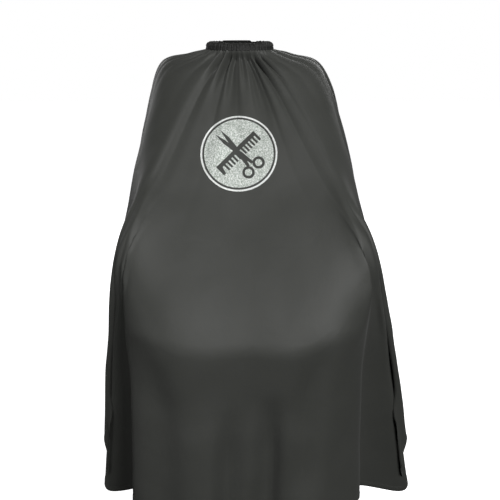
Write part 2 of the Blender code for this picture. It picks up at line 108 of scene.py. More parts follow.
# Panel: the sheet's key lines run from the neck to the hem, for one half of the cape, from the slit at the
# back round the side to the front centre. Each starts at an angle round the neck, measured from the back.
CM = 0.01
NECK_HALF_WIDTH = 8.15
NECK_HALF_DEPTH = 7.05
NECK_EDGE_HEIGHT = -0.9
KEY_LINES = (
    # back centre, along the slit
    (1.5, ((0.4, 9.6, -2.6), (0.6, 12.8, -7), (0.8, 14.6, -14.5), (1.1, 15.4, -22), (1.4, 15.8, -28.5),
           (1.7, 16.1, -35))),
    # shoulder blade
    (32, ((7.2, 9.2, -2.4), (12.2, 12, -6.6), (14.4, 14.2, -15.6), (15.4, 15.4, -25.5), (16.2, 16.2, -34),
          (17, 17, -41.5))),
    # back corner of the sheet
    (58, ((11.2, 6, -2), (18.4, 7.6, -5.6), (22, 9.6, -18), (24, 11, -36), (25.6, 12.4, -52.5),
          (27.4, 13.8, -69))),
    # point of the shoulder, then straight down behind the armrest
    (82, ((12.6, 1.2, -1.8), (20.2, 1.4, -4.8), (24.2, 0.8, -19.5), (27.2, 0.2, -41), (28.6, 0.2, -50),
          (29.8, 0.2, -59.5))),
    # over the armrest, at its back, middle and front
    (104, ((12.2, -2.8, -2), (19.6, -3.4, -5.2), (24.2, -8.2, -20), (27.4, -13.6, -41), (29.2, -13.8, -52),
           (30.8, -14, -62))),
    (124, ((10.2, -6, -2.8), (17.2, -8.8, -7.4), (23.8, -17.6, -22.5), (27.4, -27, -41), (29.6, -27.2, -56),
           (31, -27.4, -70.5))),
    (141, ((7.8, -8, -3.6), (13.2, -13, -10.2), (20.8, -25.2, -25.2), (27, -38.6, -40.4), (31.2, -35.4, -65),
           (34, -31.5, -89.5))),
    # front corner of the sheet
    (149, ((6.5, -8.6, -3.9), (11.2, -14.2, -11.4), (18.8, -26.8, -26.6), (26.4, -40.4, -41.2),
           (31, -34.8, -73), (36, -31, -103.5))),
    # valley behind the front fold
    (155, ((5.4, -9, -4.1), (9.4, -15, -12.4), (16.8, -27.8, -28), (25.6, -41.6, -42.4), (25, -37.4, -73),
           (25, -34, -101))),
    # front fold, hanging from the armrest's corner
    (161, ((4.3, -9.3, -4.3), (7.6, -15.6, -13.2), (13.6, -28.4, -29.2), (24.4, -42.6, -43.8),
           (24, -45.6, -69.4), (24.4, -46.6, -96.5))),
    # knee
    (171, ((2.4, -9.6, -4.5), (4.1, -16, -13.9), (7.2, -28.6, -29.6), (13.6, -49.2, -53.6),
           (13.4, -52.6, -74.6), (13.4, -54, -97))),
    # front centre
    (180, ((0, -9.7, -4.6), (0, -16.1, -14.2), (0, -28.5, -30), (0, -48.8, -54.2), (0, -52.2, -74.6),
           (0, -53.6, -97))),
)
# Folds of the sides and the back, along the key lines, deepening from the shoulder to the hem.
FOLD_DEPTH = 58.0 * MM
FOLDS_PER_LINE = 1.0
FOLD_LINES = (0.6, 6.3)
FOLD_FADE = 4.3
FOLD_START = 0.12
FOLD_START_AT_ARM = 0.5
ARM_LINES = (2.5, 5.0)
FOLD_GROWTH = 1.2
FOLD_INWARD = 0.5
# The sheet drifts towards the wearer's left as it falls; its front stops drifting at the lap.
LEAN = 0.04
FRONT_LEAN_DEPTH = 0.35
FRONT_LEAN_LINES = (7.5, 9.0)

# Emblem: a film printed on the sloping chest. Its outlines are drawn round, then lowered to the height that
# they have from straight in front.
EMBLEM_CENTRE = (0.0, -0.230)
EMBLEM_HEIGHT_SHARE = 0.875
EMBLEM_RING_RADIUS = 87.0 * MM
EMBLEM_RING_WIDTH = 4.0 * MM
EMBLEM_DISC_RADIUS = 78.5 * MM
FILM_CLEARANCE = 0.5 * MM
FILM_THICKNESS = 0.25 * MM
FILM_FIRST_LINE = 7
FILM_STATIONS = (1, 4)
CIRCLE_STEPS = 160
CUTTER_SPAN = (-0.45, -0.05)

# Crossed comb and scissors, cut out of the emblem's disc.
MOTIF_ANGLE = math.radians(45)
COMB_LENGTH = 118.0 * MM
COMB_SPINE = 10.0 * MM
COMB_DEPTH = 26.0 * MM
COMB_TEETH = 12
COMB_END_WIDTH = 6.0 * MM
COMB_TOOTH_SHARE = 0.55
BLADE_LENGTH = 70.0 * MM
BLADE_WIDTH = 10.5 * MM
BLADE_TIP = 2.0 * MM
BLADE_SPREAD = math.radians(9)
SHANK_LENGTH = 38.0 * MM
SHANK_WIDTH = 6.5 * MM
HANDLE_RADIUS = 14.0 * MM
HANDLE_HOLE = 8.0 * MM
HANDLE_OFFSET = 8.5 * MM
HANDLE_STEPS = 56

SMOOTH_ANGLE = math.radians(40)
TAB_SECTION = 20
TAB_TIP_STEPS = 12

# The sheet is laid on a coarse grid, which the simulation settles, and is then made finer.
LAST_LINE = 2 * (len(KEY_LINES) - 1)
SIM_STEPS = 7
FINE_STEPS = 2

# Simulation: how long it runs, how firmly the sheet is held to its folds, and how far a point may move.
SIM_FRAMES = 20
SIM_REACH = 6 * MM
SEAM_HOLD = 0.7
HOLD = 0.8
CLOTH = {
    "quality": 6,
    "mass": 0.02,
    "tension_stiffness": 60,
    "compression_stiffness": 60,
    "shear_stiffness": 20,
    "bending_stiffness": 0.05,
    "tension_damping": 6,
    "compression_damping": 6,
    "shear_damping": 5,
    "bending_damping": 0.3,
    "vertex_group_mass": "held",
    "pin_stiffness": 1.0,
}
CLOTH_COLLISION = {"collision_quality": 2, "distance_min": 3 * MM}
# The form of the wearer, inside the sheet, from the neck to this many stations down.
FORM_STATIONS = 4.6
FORM_GAP = 10 * MM
FORM_WALL = 20 * MM
FORM_CLEARANCE = 3 * MM
FORM_FRICTION = 12

# Small hollows all over the sheet, in two sizes.
WRINKLE_DEPTH = 1.6 * MM
WRINKLE_SCALE = 9.0
WRINKLE_START = 0.12
SMALL_WRINKLE_SCALE = 2.3
SMALL_WRINKLE_SHARE = 0.5
SMALL_WRINKLE_SHIFT = Vector((3, 5, 7))

# Below the neckband: fine ruffles at the seam, then the valleys between the gathers. Both are counted round
# the neck, with fades in shares of the drop. Gathers are deepest at the front (degrees from the back, width).
RUFFLE_COUNT = 58
RUFFLE_DEPTH = 0.9 * MM
RUFFLE_FADE = 0.06
GATHER_COUNT = 31
GATHER_DEPTH = 21.0 * MM
GATHER_PEAK = 0.11
GATHER_SWELL = 1.6
GATHER_SHARPNESS = 1.5
GATHER_FRONT = (178, 42)
# Deeper folds there: degrees from the back, width, depth, share of the drop where they end.
NECK_FOLDS = (
    (136.0, 4.0, 6.0 * MM, 0.24),
    (147.0, 4.0, 9.0 * MM, 0.28),
    (157.0, 4.4, 18.0 * MM, 0.34),
    (167.5, 4.2, 27.0 * MM, 0.44),
    (177.0, 3.4, 20.0 * MM, 0.33),
    (186.0, 4.0, 25.0 * MM, 0.40),
    (196.0, 4.2, 20.0 * MM, 0.37),
    (207.0, 4.0, 10.0 * MM, 0.30),
    (219.0, 4.0, 6.0 * MM, 0.24),
)
NECK_FOLD_START = 0.06
NECK_FOLD_HOLD = 0.35

# Places are (centre, width): a share of the drop, and key lines from the slit.
# Pulls run from the shoulder to the armrest. Creases gather at the armrest's corner.
PULL_DEPTH = 1.0 * MM
PULL_DROP = (0.46, 0.16)
PULL_LINES = (7.6, 1.5)
PULLS_PER_LINE = 0.45
PULL_SLANT = 3
CREASE_DEPTH = 3.0 * MM
CREASE_DROP = (0.665, 0.035)
CREASE_LINES = (8.2, 0.8)
CREASES_PER_DROP = 26
CREASE_SLANT = 2

# The edge where the sheet leaves the knees, lower at the front folds. Spans are (start, length).
KNEE_RIDGE = 14 * MM
KNEE_DROP = 0.7
KNEE_DROP_AT_FOLD = 0.05
KNEE_FOLD_LINE = 9
KNEE_WIDTH = 0.045
KNEE_LINES = (8.8, 0.9)
# Folds below the knees: key line, width in lines, depth, start and end.
SKIRT_FOLDS = (
    (10.6, 0.17, 30.0 * MM, 0.77, 1.2),
    (11.2, 0.17, 26.0 * MM, 0.79, 1.2),
    (10.0, 0.26, 14.0 * MM, 0.66, 0.9),
    (12.3, 0.3, 9.0 * MM, 0.72, 0.95),
)
SKIRT_FOLD_RISE = 0.12
SKIRT_FOLD_FADE = 0.1
SKIRT_FOLD_SLANT = 0.4
SKIRT_WAVE = 7.0 * MM
SKIRT_WAVE_LINES = (9.2, 0.8)
SKIRT_WAVE_DROP = (0.72, 0.28)
SKIRT_WAVES_PER_LINE = 0.62
SKIRT_WAVE_PHASE = 0.7

# Hem and stitches.
HEM_WIDTH = 13.0 * MM
HEM_THICKNESS = 1.4 * MM
HEM_CROWN = 1.15
HEM_EDGE = 0.5 * MM
HEM_FOLD = 0.8 * MM
HEM_STITCH_INSET = 2 * MM
STITCH_LENGTH = 2.6 * MM
STITCH_PITCH = 3.6 * MM
STITCH_RADIUS = 0.3 * MM
STITCH_BELLY = 0.3
STITCH_FLATNESS = 0.8
STITCH_LIFT = 0.55
TAB_STITCH_INSET = 2.2 * MM
TAB_STITCH_LIFT = 0.1 * MM
TAB_STITCH_STEPS = 40
TAB_STITCH_TIP_STEPS = 20

# Ruched casing: (out and height as shares, how far gathers move the point out and up, in millimetres).
GATHERS = 84
CASING_END_FADE = 12
FRONT_DIP = 2.5 * MM
CASING_SECTION = (
    (0.0, -0.86, 0.3, 0.2),
    (0.02, -1.2, 0.6, 0.3),
    (0.1, -1.42, 0.9, 0.4),
    (0.42, -1.42, 1.0, 0.4),
    (0.6, -1.1, 0.9, 0.2),
    (0.72, -0.88, 0.3, 0.0),
    (0.95, -0.66, 1.0, 0.0),
    (1.08, -0.3, 1.7, 0.0),
    (1.10, 0.1, 1.7, 0.0),
    (1.04, 0.45, 1.1, 0.0),
    (0.86, 0.66, 0.3, 0.0),
    (0.84, 0.78, 0.9, 0.4),
    (0.6, 0.94, 0.9, 0.8),
    (0.3, 1.0, 0.8, 1.0),
    (0.06, 0.92, 0.6, 0.7),
    (0.0, 0.8, 0.4, 0.2),
    (0.0, 0.0, 0.3, 0.0),
)

# A length along the band from the closure strap's hinge.
HINGE_BEND = 7.0 * MM

# Camera and studio. Lights: name, place, aim, size, power.
CAMERA_PLACE = (0.0206, -2.0, 0.075)
CAMERA_LENS = 57.0
CAMERA_SENSOR = 36.0
CAMERA_PITCH = 13.55
CAMERA_SHIFT = (0.004, -0.09)
WORLD_STRENGTH = 1.0
FLOOR = 12.0
FLOOR_HEIGHT = -1.42
LIGHTS = (
    ("key", (2.0, -4.2, 3.1), (0, -0.3, -0.4), 2.2, 285.0),
    ("fill", (-2.4, -2.4, 0.0), (0, -0.2, -0.5), 2.0, 24.0),
    ("back_right", (1.3, 3.4, 1.2), (0, 0, -0.4), 2.2, 55.0),
    ("back_left", (-2.2, 3.0, 0.6), (0, 0, -0.4), 2.2, 26.0),
)


def smoothstep(value):
    """Rises smoothly from 0 to 1 as the value does, and stays there."""
    value = np.clip(value, 0, 1)
    return value * value * (3 - 2 * value)


def hill(value, centre, width):
    """A smooth bump, 1 at the centre."""
    return np.exp(-(((value - centre) / width) ** 2))


def rise(value, start, length):
    """Rises from 0 at the start to 1, over a length."""
    return smoothstep((value - start) / length)


# ---------------------------------------------------------------- the sheet


def spline(keys, steps):
    """A Catmull-Rom curve through rows of keys, with so many steps between two of them."""
    keys = np.asarray(keys, float)
    before = 2 * keys[0] - keys[1]
    after = 2 * keys[-1] - keys[-2]
    padded = np.concatenate([before[None], keys, after[None]])
    rows = []
    for index in range(len(keys) - 1):
        p0, p1, p2, p3 = padded[index : index + 4]
        for step in range(steps):
            t = step / steps
            rows.append(
                p1
                + 0.5 * t * (p2 - p0)
                + t * t * (p0 - 2.5 * p1 + 2 * p2 - 0.5 * p3)
                + t**3 * (1.5 * (p1 - p2) + 0.5 * (p3 - p0))
            )
    rows.append(keys[-1])
    return np.array(rows)


def finer(grid, steps):
    """The grid with so many steps between two rows and between two columns."""
    return spline(spline(grid, steps).transpose(1, 0, 2), steps).transpose(1, 0, 2)


def key_points():
    """The key lines of the whole sheet in metres, from the neck down, mirrored past the front centre."""
    lines = []
    for degrees, rest in KEY_LINES:
        angle = math.radians(degrees)
        start = (NECK_HALF_WIDTH * math.sin(angle), NECK_HALF_DEPTH * math.cos(angle), NECK_EDGE_HEIGHT)
        lines.append((start, *rest))
    half = np.array(lines) * CM
    mirrored = half[-2::-1] * (-1, 1, 1)
    return np.concatenate([half, mirrored])


def coordinates(rows, columns):
    """Each point's share of the way from neck to hem, its key line, and its lines from the slit."""
    drop = np.linspace(0, 1, rows)[:, None]
    line = np.linspace(0, LAST_LINE, columns)[None]
    return drop, line, np.minimum(line, LAST_LINE - line)


def side_folds(rows, columns):
    """The folds that the CAD part has too."""
    drop, line, from_slit = coordinates(rows, columns)
    first, last = FOLD_LINES
    share = 1 / (1 + np.exp((first - from_slit) * FOLD_FADE)) / (1 + np.exp((from_slit - last) * FOLD_FADE))
    back_until, arm_from = ARM_LINES
    at_arm = np.clip((from_slit - back_until) / (arm_from - back_until), 0, 1)
    start = FOLD_START + (FOLD_START_AT_ARM - FOLD_START) * at_arm
    depth = FOLD_DEPTH * np.clip((drop - start) / (1 - start), 0, 1) ** FOLD_GROWTH
    uneven = 0.8 + 0.2 * np.sin(2.3 * line + 0.5)
    phase = 1 + 0.6 * np.sin(1.7 * line) + 0.5 * drop
    return depth * uneven * share * (np.sin(2 * math.pi * FOLDS_PER_LINE * line + phase) - FOLD_INWARD)


def neck_gathers(drop, around):
    """Ruffles, gathers and folds that hang from the neckband. Around is in degrees from the back."""
    turn = np.radians(around)
    ruffles = np.sin(RUFFLE_COUNT * turn + 1.2 * np.sin(5 * turn)) * np.exp(-((drop / RUFFLE_FADE) ** 2))
    swell = (drop / GATHER_PEAK * np.exp(1 - drop / GATHER_PEAK)) ** GATHER_SWELL
    uneven = (0.65 + 0.35 * np.sin(7 * turn + 2)) * (0.35 + 0.65 * hill(around, *GATHER_FRONT))
    waves = np.abs(np.sin(GATHER_COUNT / 2 * turn + 1.2 * np.sin(4 * turn + 1)))
    depth = RUFFLE_DEPTH * ruffles - GATHER_DEPTH * uneven * swell * (1 - waves) ** GATHER_SHARPNESS
    for where, width, deep, until in NECK_FOLDS:
        fade = smoothstep((drop / until - NECK_FOLD_HOLD) / (1 - NECK_FOLD_HOLD))
        depth = depth - deep * hill(around, where, width) * smoothstep(drop / NECK_FOLD_START) * (1 - fade)
    return depth


def arm_folds(drop, line, from_slit):
    """Pulls from the shoulder to the armrest, and the creases at its corner."""
    pull = hill(drop, *PULL_DROP) * hill(from_slit, *PULL_LINES)
    depth = PULL_DEPTH * pull * np.sin(2 * math.pi * PULLS_PER_LINE * line + PULL_SLANT * drop)
    crease = hill(drop, *CREASE_DROP) * hill(from_slit, *CREASE_LINES)
    return depth + CREASE_DEPTH * crease * np.sin(2 * math.pi * CREASES_PER_DROP * drop + CREASE_SLANT * line)


def skirt_folds(drop, line, from_slit):
    """The edge at the knees, and the folds and waves below it."""
    knee = KNEE_DROP + KNEE_DROP_AT_FOLD * (1 - smoothstep(from_slit - KNEE_FOLD_LINE))
    depth = KNEE_RIDGE * np.exp(-np.abs(drop - knee) / KNEE_WIDTH) * rise(from_slit, *KNEE_LINES)
    for where, width, deep, start, end in SKIRT_FOLDS:
        along = rise(drop, start, SKIRT_FOLD_RISE) * (1 - rise(drop, end, SKIRT_FOLD_FADE))
        depth = depth - deep * hill(line, where + SKIRT_FOLD_SLANT * (drop - start), width) * along
    front = rise(from_slit, *SKIRT_WAVE_LINES) * rise(drop, *SKIRT_WAVE_DROP)
    return depth + SKIRT_WAVE * front * np.sin(2 * math.pi * SKIRT_WAVES_PER_LINE * line + SKIRT_WAVE_PHASE)


def soft_folds(rows, columns):
    """The folds that only the scene's sheet has."""
    drop, line, from_slit = coordinates(rows, columns)
    half = [degrees for degrees, _ in KEY_LINES]
    around = np.interp(line, range(LAST_LINE + 1), half + [360 - degrees for degrees in half[-2::-1]])
    return neck_gathers(drop, around) + arm_folds(drop, line, from_slit) + skirt_folds(drop, line, from_slit)


def grid_normals(grid):
    """The direction out of the sheet at each point."""
    normals = np.cross(np.gradient(grid, axis=1), np.gradient(grid, axis=0))
    return normals / np.linalg.norm(normals, axis=2)[..., None]


def drift(grid):
    """How far each point has drifted sideways."""
    depth = NECK_EDGE_HEIGHT * CM - grid[..., 2]
    from_slit = coordinates(*grid.shape[:2])[2]
    side_until, front_from = FRONT_LEAN_LINES
    front = np.clip((from_slit - side_until) / (front_from - side_until), 0, 1)
    return LEAN * (depth + (np.minimum(depth, FRONT_LEAN_DEPTH) - depth) * front)


def draped_grid():
    """The sheet as it hangs, with the same key lines and side folds as the CAD panel."""
    lines = spline(key_points(), SIM_STEPS)
    smooth = spline(lines.transpose(1, 0, 2), SIM_STEPS)
    smooth[..., 0] += drift(smooth)
    folded = smooth + grid_normals(smooth) * side_folds(*smooth.shape[:2])[..., None]
    return smooth, folded


def grid_faces(rows, columns):
    faces = []
    for row in range(rows - 1):
        for column in range(columns - 1):
            here = row * columns + column
            faces.append((here, here + 1, here + columns + 1, here + columns))
    return faces


def wearer_form(smooth):
    """A wall just inside the sheet's smooth shape, to settle on; the deepest folds start within it."""
    rows = int(SIM_STEPS * FORM_STATIONS) + 1
    inner = smooth[:rows] - grid_normals(smooth[:rows]) * FORM_GAP
    form = add_object("wearer_form", inner.reshape(-1, 3), grid_faces(rows, smooth.shape[1]), closed=False)
    wall = form.modifiers.new("wall", "SOLIDIFY")
    wall.thickness = FORM_WALL
    wall.offset = -1
    form.modifiers.new("collision", "COLLISION")
    form.collision.thickness_outer = FORM_CLEARANCE
    form.collision.cloth_friction = FORM_FRICTION
    return form


def settle(smooth, folded):
    """Cloth simulation: the sheet sags a little over a form of the wearer, held near its folds."""
    rows, columns = folded.shape[:2]
    form = wearer_form(smooth)
    sheet = add_object("settling_sheet", folded.reshape(-1, 3), grid_faces(rows, columns), closed=False)
    held = sheet.vertex_groups.new(name="held")
    held.add(list(range(columns)), 1.0, "REPLACE")
    held.add(list(range(columns, 2 * columns)), SEAM_HOLD, "REPLACE")
    held.add(list(range(2 * columns, rows * columns)), HOLD, "REPLACE")
    cloth = sheet.modifiers.new("cloth", "CLOTH")
    for name, value in CLOTH.items():
        setattr(cloth.settings, name, value)
    for name, value in CLOTH_COLLISION.items():
        setattr(cloth.collision_settings, name, value)
    cloth.point_cache.frame_start = 1
    cloth.point_cache.frame_end = SIM_FRAMES
    scene = bpy.context.scene
    for step in range(1, SIM_FRAMES + 1):
        scene.frame_set(step)
    settled = sheet.evaluated_get(bpy.context.evaluated_depsgraph_get()).to_mesh()
    points = np.empty(len(settled.vertices) * 3)
    settled.vertices.foreach_get("co", points)
    scene.frame_set(1)
    bpy.data.objects.remove(sheet)
    bpy.data.objects.remove(form)
    moved = even_out(even_out(points.reshape(folded.shape) - folded))
    reach = np.linalg.norm(moved, axis=2)[..., None]
    return folded + moved * np.minimum(1, SIM_REACH / np.maximum(reach, 1e-9))


def even_out(moved):
    """Each point's movement, averaged with its neighbours'."""
    wide = np.pad(moved, ((1, 1), (1, 1), (0, 0)), mode="edge")
    rows, columns = moved.shape[:2]
    shifts = [wide[row : row + rows, column : column + columns] for row in range(3) for column in range(3)]
    return sum(shifts) / len(shifts)


def wrinkled(grid):
    """Small uneven hollows all over the sheet, from a little below the neck."""
    rows, columns = grid.shape[:2]
    depth = np.empty((rows, columns))
    for row in range(rows):
        for column in range(columns):
            place = Vector(grid[row, column]) * WRINKLE_SCALE
            small = noise.noise(place * SMALL_WRINKLE_SCALE + SMALL_WRINKLE_SHIFT)
            depth[row, column] = noise.noise(place) + SMALL_WRINKLE_SHARE * small
    depth *= WRINKLE_DEPTH * smoothstep(coordinates(rows, columns)[0] / WRINKLE_START)
    return grid + grid_normals(grid) * depth[..., None]


def make_sheet(grid, look):
    obj = add_object("cape_cloth", grid.reshape(-1, 3), grid_faces(*grid.shape[:2]), look, closed=False)
    obj.data.shade_smooth()
    return obj


# ---------------------------------------------------------------- hem and stitching


def hem_path(grid):
    """Edge points, inward directions and normals, from the neck down the slit, round the hem and up again."""
    normals = grid_normals(grid)
    inward = np.zeros_like(grid)
    inward[-1] += unit(grid[-2] - grid[-1])
    inward[:, 0] += unit(grid[:, 1] - grid[:, 0])
    inward[:, -1] += unit(grid[:, -2] - grid[:, -1])
    rows, columns = grid.shape[:2]
    order = [(row, 0) for row in range(1, rows - 1)]
    order += [(rows - 1, column) for column in range(columns)]
    order += [(row, columns - 1) for row in range(rows - 2, 0, -1)]
    at = tuple(np.array(order).T)
    return grid[at], inward[at], normals[at]


def unit(vectors):
    """The vectors at length 1."""
    return vectors / np.linalg.norm(vectors, axis=-1)[..., None]


def make_hem(grid, look):
    """The turned hem: a flat band on both faces of the sheet, rounded over its edge."""
    edge, inward, normals = hem_path(grid)
    section = [(HEM_WIDTH, -1), (HEM_WIDTH / 2, -HEM_CROWN), (HEM_EDGE, -1), (-HEM_FOLD, 0), (HEM_EDGE, 1)]
    section += [(HEM_WIDTH / 2, HEM_CROWN), (HEM_WIDTH, 1)]
    rings = [edge + inward * along + normals * out * HEM_THICKNESS / 2 for along, out in section]
    points = np.stack(rings, axis=1)
    size = len(section)
    faces = []
    for step in range(len(edge) - 1):
        for corner in range(size):
            here = step * size + corner
            beside = step * size + (corner + 1) % size
            faces.append((here, here + size, beside + size, beside))
    faces.append(tuple(range(size)))
    faces.append(tuple(range(points.shape[0] * size - size, points.shape[0] * size)))
    hem = add_object("hem_fold", points.reshape(-1, 3), faces, look)
    shade(hem)
    return hem


def stitches(name, path, normals, look):
    """A row of stitches on a path: each one is a short spindle of thread."""
    steps = np.linalg.norm(np.diff(path, axis=0), axis=1)
    distance = np.concatenate([[0], np.cumsum(steps)])
    starts = np.arange(STITCH_PITCH / 2, distance[-1] - STITCH_LENGTH, STITCH_PITCH)

    def at(where, values):
        return np.stack([np.interp(where, distance, values[:, axis]) for axis in range(3)], axis=1)

    begin, end = at(starts, path), at(starts + STITCH_LENGTH, path)
    out = unit(at(starts, normals))
    along = unit(end - begin)
    side = np.cross(along, out)
    middle = (begin + end) / 2
    wide, high = side * STITCH_RADIUS, out * STITCH_RADIUS * STITCH_FLATNESS
    belly = [wide, high, -wide, -high]
    reach = along * STITCH_LENGTH * STITCH_BELLY
    points = [begin]
    points += [middle - reach + offset for offset in belly]
    points += [middle + reach + offset for offset in belly]
    points.append(end)
    points = np.stack(points, axis=1)
    faces = []
    for stitch in range(len(starts)):
        first = stitch * 10
        for corner in range(4):
            beside = (corner + 1) % 4
            near, far = first + 1 + corner, first + 5 + corner
            faces.append((first, first + 1 + beside, near))
            faces.append((near, first + 1 + beside, first + 5 + beside, far))
            faces.append((far, first + 5 + beside, first + 9))
    obj = add_object(name, points.reshape(-1, 3), faces, look)
    obj.data.shade_smooth()
    return obj


def make_hem_stitching(grid, look):
    edge, inward, normals = hem_path(grid)
    path = edge + inward * (HEM_WIDTH - HEM_STITCH_INSET) + normals * HEM_THICKNESS * STITCH_LIFT
    return stitches("hem_stitching", path, normals, look)


# ---------------------------------------------------------------- neckband


def band_angle(arc):
    """The ellipse parameter at an arc length from the back centre, found by small steps."""
    steps = max(1, int(abs(arc) / (0.5 * MM)))
    angle = math.pi / 2
    for _ in range(steps):
        speed = math.hypot(BAND_HALF_WIDTH * math.sin(angle), BAND_HALF_DEPTH * math.cos(angle))
        angle += arc / steps / speed
    return angle


def band_frame(angle):
    """(origin, normal out of the band, up along its wall) at an ellipse parameter."""
    origin = Vector((BAND_HALF_WIDTH * math.cos(angle), BAND_HALF_DEPTH * math.sin(angle), 0))
    level = Vector((math.cos(angle) / BAND_HALF_WIDTH, math.sin(angle) / BAND_HALF_DEPTH, 0)).normalized()
    normal = level * math.cos(BAND_LEAN) + Vector((0, 0, math.sin(BAND_LEAN)))
    up = Vector((0, 0, math.cos(BAND_LEAN))) - level * math.sin(BAND_LEAN)
    return origin, normal, up


def band_point(angle, out, height):
    origin, normal, up = band_frame(angle)
    return origin + normal * out + up * height


def make_casing(look):
    """The ruched casing: a soft tube gathered along its elastic, over the sheet's edge.

    Two waves of different lengths, unevenly spaced, keep the gathers from being alike.
    """
    start = band_angle(CASING_END)
    end = band_angle(-CASING_END) + 2 * math.pi
    half = BAND_HEIGHT / 2
    size = len(CASING_SECTION)
    points = []
    for angle in np.linspace(start, end, CASING_STEPS):
        turn = angle - math.pi / 2
        ripple = math.sin(GATHERS * turn + 1.1 * math.sin(9 * turn)) * (0.75 + 0.25 * math.sin(13 * turn))
        second = math.sin(GATHERS * 0.53 * turn + 2 * math.sin(5 * turn))
        ends = min(1, (angle - start) * CASING_END_FADE, (end - angle) * CASING_END_FADE)
        for out, height, gather, lift in CASING_SECTION:
            deep = (ripple * 0.7 + second * 0.5) * gather * MM * ends
            rise = (second * 0.6 + ripple * 0.3) * lift * MM * ends
            dip = FRONT_DIP * max(0, height) * max(0, -math.sin(angle)) ** 2
            points.append(band_point(angle, out * CASING_THICKNESS + deep, height * half + rise - dip))
    faces = []
    for step in range(CASING_STEPS - 1):
        for corner in range(size):
            here = step * size + corner
            beside = step * size + (corner + 1) % size
            faces.append((here, beside, beside + size, here + size))
    faces.append(tuple(range(size)))
    faces.append(tuple(range(len(points) - size, len(points))))
    obj = add_object("neckband_ruched", points, faces, look)
    shade(obj)
    return obj


def make_tab(name, root, tip, offset, look):
    """A cloth strap along the band with soft edges and a rounded tip. Root and tip are arc lengths."""
    direction = math.copysign(1, tip - root)
    length = abs(tip - root)
    arcs = list(np.linspace(0, length - TAB_CORNER, TAB_STEPS))
    tip_turns = np.linspace(0.12, math.pi / 2, TAB_TIP_STEPS)
    arcs += [length - TAB_CORNER * (1 - math.sin(turn)) for turn in tip_turns]
    points = []
    for arc in arcs:
        into = max(0.0, arc - (length - TAB_CORNER))
        trim = TAB_CORNER - math.sqrt(max(0.0, TAB_CORNER**2 - into**2))
        half = TAB_HEIGHT / 2 - trim
        angle = band_angle(root + direction * arc)
        for turn in np.linspace(0, 2 * math.pi, TAB_SECTION, endpoint=False):
            across, through = math.cos(turn), math.sin(turn)
            height = half * math.copysign(abs(across) ** 0.35, across)
            out = TAB_THICKNESS / 2 * (1 + math.copysign(abs(through) ** 0.6, through))
            points.append(band_point(angle, offset + out, height))
    faces = []
    for step in range(len(arcs) - 1):
        for corner in range(TAB_SECTION):
            here = step * TAB_SECTION + corner
            beside = step * TAB_SECTION + (corner + 1) % TAB_SECTION
            faces.append((here, beside, beside + TAB_SECTION, here + TAB_SECTION))
    faces.append(tuple(range(TAB_SECTION)))
    faces.append(tuple(range(len(points) - TAB_SECTION, len(points))))
    obj = add_object(name, points, faces, look)
    shade(obj)
    return obj


def tab_stitching(name, root, tip, out, look):
    """Topstitching round a tab's outer face."""
    direction = math.copysign(1, tip - root)
    inset = TAB_STITCH_INSET
    half = TAB_HEIGHT / 2 - inset
    corner = TAB_CORNER - inset
    far = abs(tip - root) - inset
    outline = [(arc, -half) for arc in np.linspace(inset, far - corner, TAB_STITCH_STEPS)]
    for turn in np.linspace(-math.pi / 2, math.pi / 2, TAB_STITCH_TIP_STEPS):
        height = math.copysign(half - corner, turn) + corner * math.sin(turn)
        outline.append((far - corner + corner * math.cos(turn), height))
    outline += [(arc, half) for arc in np.linspace(far - corner, inset, TAB_STITCH_STEPS)]
    outline.append((inset, -half))
    path = []
    normals = []
    for arc, height in outline:
        angle = band_angle(root + direction * arc)
        path.append(band_point(angle, out + TAB_STITCH_LIFT, height))
        normals.append(band_frame(angle)[1])
    return stitches(name, np.array(path), np.array(normals), look)


# ---------------------------------------------------------------- press snaps


def turned(name, profile, matrix, look):
    """A solid of revolution about its own Z. The profile is a closed loop of (radius, height)."""
    points = []
    rings = []
    for radius, height in profile:
        if radius == 0:
            rings.append([len(points)] * SNAP_SEGMENTS)
            points.append((0, 0, height))
            continue
        rings.append(list(range(len(points), len(points) + SNAP_SEGMENTS)))
        for step in range(SNAP_SEGMENTS):
            turn = 2 * math.pi * step / SNAP_SEGMENTS
            points.append((radius * math.cos(turn), radius * math.sin(turn), height))
    faces = []
    for this, after in zip(rings, rings[1:] + rings[:1]):
        for step in range(SNAP_SEGMENTS):
            following = (step + 1) % SNAP_SEGMENTS
            corners = dict.fromkeys((this[step], this[following], after[following], after[step]))
            if len(corners) > 2:
                faces.append(tuple(corners))
    placed = [matrix @ Vector(point) for point in points]
    obj = add_object(name, placed, faces, look)
    shade(obj)
    return obj


def snap_matrix(arc):
    """The frame of a snap on the closure: Z out of the band, Y up along it."""
    origin, normal, up = band_frame(band_angle(arc))
    across = up.cross(normal)
    rotation = Matrix((across, up, normal)).transposed().to_4x4()
    return Matrix.Translation(origin) @ rotation


def cap_profile(seat, outward, pin_end):
    """A domed cap that seats at a height, with a pin that runs the other way to pin_end."""
    top = seat + outward * CAP_THICKNESS
    profile = [(0, pin_end), (PIN_RADIUS, pin_end), (PIN_RADIUS, seat), (CAP_RADIUS - 0.3 * MM, seat)]
    for turn in np.linspace(0, math.pi / 2, CAP_STEPS):
        out = CAP_RADIUS - CAP_SHOULDER * (1 - math.cos(turn))
        profile.append((out, seat + outward * (CAP_RIM + (CAP_THICKNESS - CAP_RIM) * math.sin(turn))))
    dimple = top - outward * CAP_DIMPLE
    profile += [(CAP_RADIUS * 0.55, top), (CAP_RADIUS * 0.5, top - outward * CAP_RIM)]
    profile += [(CAP_RADIUS * 0.2, dimple), (0, dimple)]
    return profile


